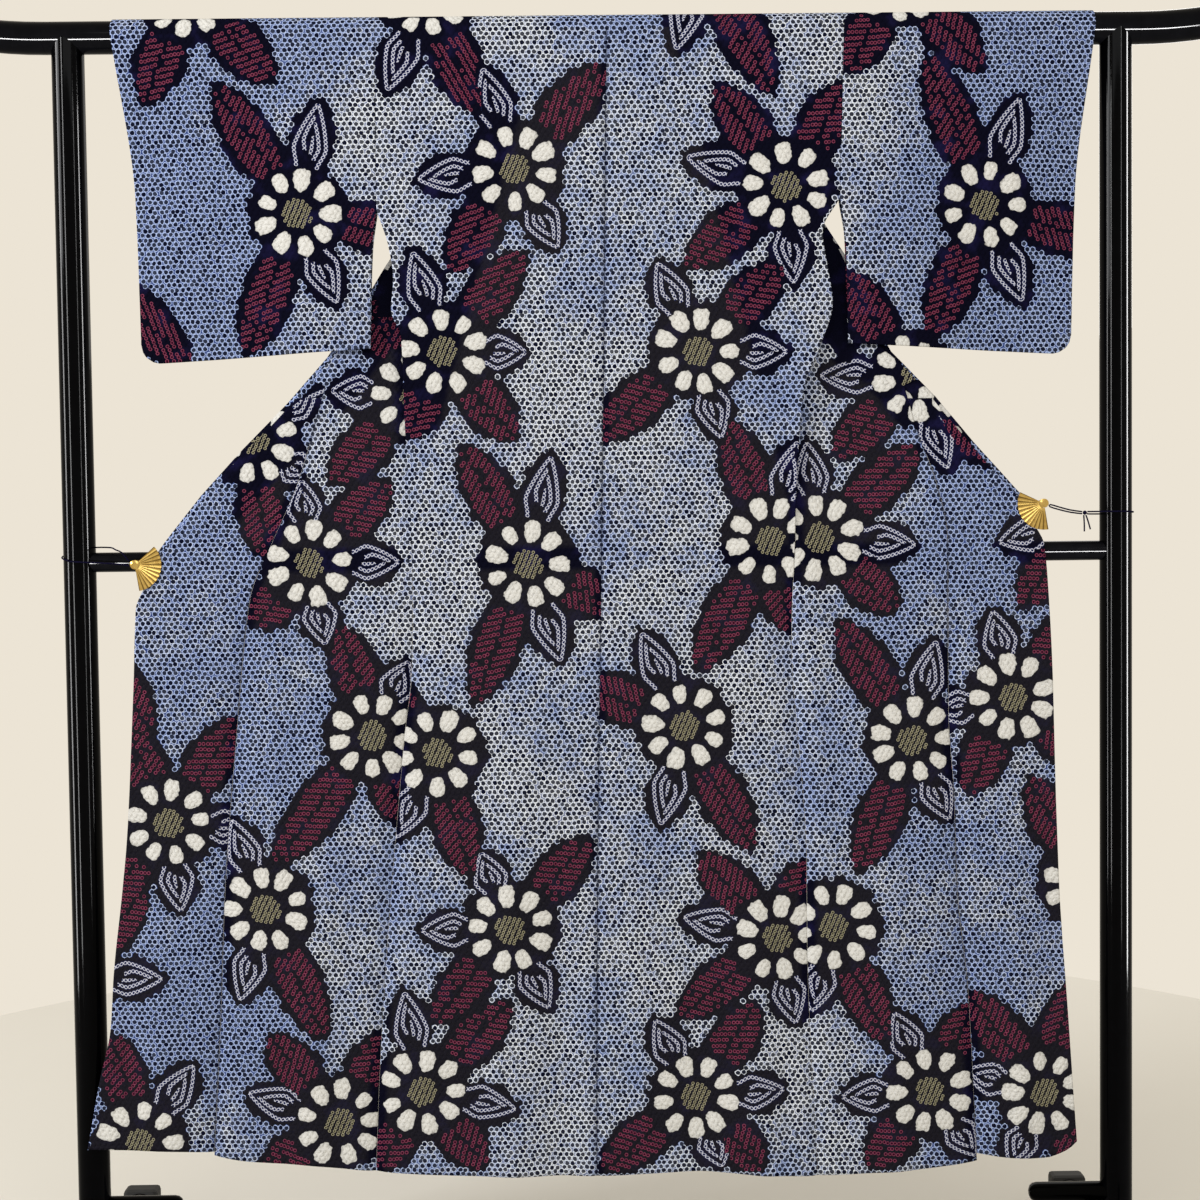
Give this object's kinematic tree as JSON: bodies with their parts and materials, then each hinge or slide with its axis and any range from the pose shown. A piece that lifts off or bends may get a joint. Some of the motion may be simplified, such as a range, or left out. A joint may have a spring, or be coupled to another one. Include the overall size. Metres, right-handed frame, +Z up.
{
  "type": "yukata on a kimono stand",
  "caption": "Open cotton yukata with tie-dyed flowers, hung over the rail of a two-post stand, its fronts turned out and held by fan-shaped clips.",
  "frame": {"origin": "on the floor under the middle of the stand, midway between its posts and its feet", "axes": "+Z up, +X along the rail towards the garment's right sleeve, -Y the side that the garment's back faces"},
  "size_m": [1.8106, 0.4906, 1.7703],
  "materials": {
    "shibori_cotton": "matte crepe cotton, tie-dyed in indigo",
    "black_paint": "glossy black",
    "rubber": "matte",
    "gold": "polished gold plate",
    "navy_cord": "twisted dark navy cord"
  },
  "bodies": {
    "root": {"body_left": "shibori_cotton", "body_right": "shibori_cotton", "sleeve_left": "shibori_cotton", "sleeve_right": "shibori_cotton", "okumi_left": "shibori_cotton", "okumi_right": "shibori_cotton", "collar": "shibori_cotton", "rail": "black_paint", "rail_end_left": "black_paint", "rail_end_right": "black_paint", "rail_cap_left": "rubber", "rail_cap_right": "rubber", "post_left": "black_paint", "post_right": "black_paint", "crossbar": "black_paint", "stub_left": "black_paint", "stub_right": "black_paint", "foot_left": "black_paint", "foot_right": "black_paint", "pad_left_front": "rubber", "pad_left_rear": "rubber", "pad_right_front": "rubber", "pad_right_rear": "rubber", "clip_fan_left": "gold", "clip_fan_right": "gold", "clip_jaw_left": "gold", "clip_jaw_right": "gold", "clip_pin_left": "gold", "clip_pin_right": "gold", "cord_left": "navy_cord", "cord_right_link": "navy_cord", "cord_right_loop": "navy_cord", "cord_knot": "navy_cord", "cord_tail_inner": "navy_cord", "cord_tail_outer": "navy_cord"}
  },
  "joints": []
}
